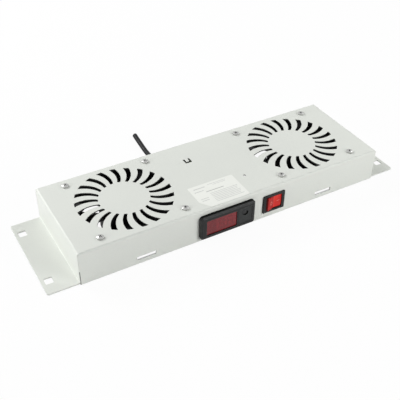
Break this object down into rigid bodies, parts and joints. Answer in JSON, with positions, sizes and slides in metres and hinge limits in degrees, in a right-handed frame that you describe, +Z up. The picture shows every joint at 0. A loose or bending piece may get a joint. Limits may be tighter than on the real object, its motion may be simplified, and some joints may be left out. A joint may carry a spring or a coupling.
{
  "type": "rack fan tray",
  "caption": "Folded sheet rack fan tray with two axial fans under swirl grilles, a panel thermostat, a rocker switch and a rear power lead.",
  "frame": {"origin": "centre of the four mounting holes, on the underside of the flanges", "axes": "+X to the right along the 19 inch width seen from the controls, -Y out of the front wall with the controls, +Z up out of the grilles"},
  "size_m": [0.4826, 0.2425, 0.0467],
  "materials": {
    "bearing_steel": "ground steel",
    "bezel_black": "fine matt",
    "block_white": "matt nylon",
    "button_black": "matt",
    "can_black": "black paint",
    "case_black": "matt",
    "circuit_board": "solder resist",
    "clip_grey": "matt",
    "clip_white": "matt nylon",
    "coil_copper": "enamelled copper",
    "core_insulation": "pvc insulation",
    "display_grey": "matt",
    "fan_frame_black": "black paint on die-cast aluminium",
    "gland_black": "matt nylon",
    "grey_powder_coat": "satin powder coat",
    "impeller_black": "matt",
    "key_switch_black": "matt",
    "lamination_steel": "stamped",
    "lead_black": "pvc sheath",
    "panel_dark_grey": "fine matt",
    "plug_black": "matt",
    "plunger_white": "matt",
    "probe_steel": "steel sleeve",
    "red_window": "translucent red, matt",
    "rocker_red": "translucent red",
    "screw_nickel": "nickel plated",
    "shaft_steel": "ground",
    "switch_black": "semi gloss",
    "tab_silver": "silvered brass",
    "tab_tin": "tinned",
    "terminal_green": "matt",
    "wire_brown": "pvc insulation",
    "wire_green": "pvc insulation",
    "wire_grey": "pvc insulation",
    "zinc_nuts": "zinc",
    "zinc_screws": "bright zinc"
  },
  "bodies": {
    "tray": {"earth_nut": "zinc_nuts", "earth_stud": "zinc_screws", "earth_tag": "tab_tin", "earth_washer": "zinc_nuts", "earth_wire": "wire_green", "fan_bearings_left": "bearing_steel", "fan_bearings_right": "bearing_steel", "fan_coils_left": "coil_copper", "fan_coils_right": "coil_copper", "fan_frame_left": "fan_frame_black", "fan_frame_right": "fan_frame_black", "fan_nuts": "zinc_nuts", "fan_plug_left": "plug_black", "fan_plug_right": "plug_black", "fan_screws": "zinc_screws", "fan_spider_left": "fan_frame_black", "fan_spider_right": "fan_frame_black", "fan_stator_left": "lamination_steel", "fan_stator_right": "lamination_steel", "fan_tabs_left": "tab_tin", "fan_tabs_right": "tab_tin", "fan_wires_left": "wire_grey", "fan_wires_right": "wire_grey", "gland_body": "gland_black", "gland_dome_nut": "gland_black", "gland_locknut": "gland_black", "housing": "grey_powder_coat", "power_lead": "lead_black", "probe": "probe_steel", "probe_clip": "clip_white", "supply_cores": "core_insulation", "switch_body": "switch_black", "switch_snaps": "switch_black", "switch_tabs": "tab_silver", "switch_wires": "wire_brown", "terminal_block": "block_white", "terminal_block_screws": "screw_nickel", "thermostat_bezel": "bezel_black", "thermostat_board": "circuit_board", "thermostat_case": "case_black", "thermostat_clips": "clip_grey", "thermostat_display": "display_grey", "thermostat_key_switch": "key_switch_black", "thermostat_panel": "panel_dark_grey", "thermostat_terminal_screws": "screw_nickel", "thermostat_terminals": "terminal_green", "thermostat_window": "red_window"},
    "rotor_left": {"rotor_can_left": "can_black", "rotor_shaft_left": "shaft_steel", "rotor_clip_left": "shaft_steel", "impeller_left": "impeller_black"},
    "rotor_right": {"rotor_can_right": "can_black", "rotor_shaft_right": "shaft_steel", "rotor_clip_right": "shaft_steel", "impeller_right": "impeller_black"},
    "rocker": {"rocker": "rocker_red", "rocker_plunger": "plunger_white"},
    "button": {"thermostat_button": "button_black"}
  },
  "joints": [
    {"name": "fan_spin_left", "type": "hinge", "parent": "tray", "child": "rotor_left", "pos_m": [-0.11875, 0, 0.022], "axis": [0, 0, 1], "continuous": true},
    {"name": "fan_spin_right", "type": "hinge", "parent": "tray", "child": "rotor_right", "pos_m": [0.11875, 0, 0.022], "axis": [0, 0, 1], "continuous": true},
    {"name": "rocker_tilt", "type": "hinge", "parent": "tray", "child": "rocker", "pos_m": [0.0472, -0.06325, 0.0205], "axis": [0, 0, 1], "range_deg": [-18, 0]},
    {"name": "button_press", "type": "slide", "parent": "tray", "child": "button", "axis": [0, 1, 0], "range_m": [0, 0.0008], "stiffness_N_per_m": 1000, "springref_m": -0.0004}
  ]
}
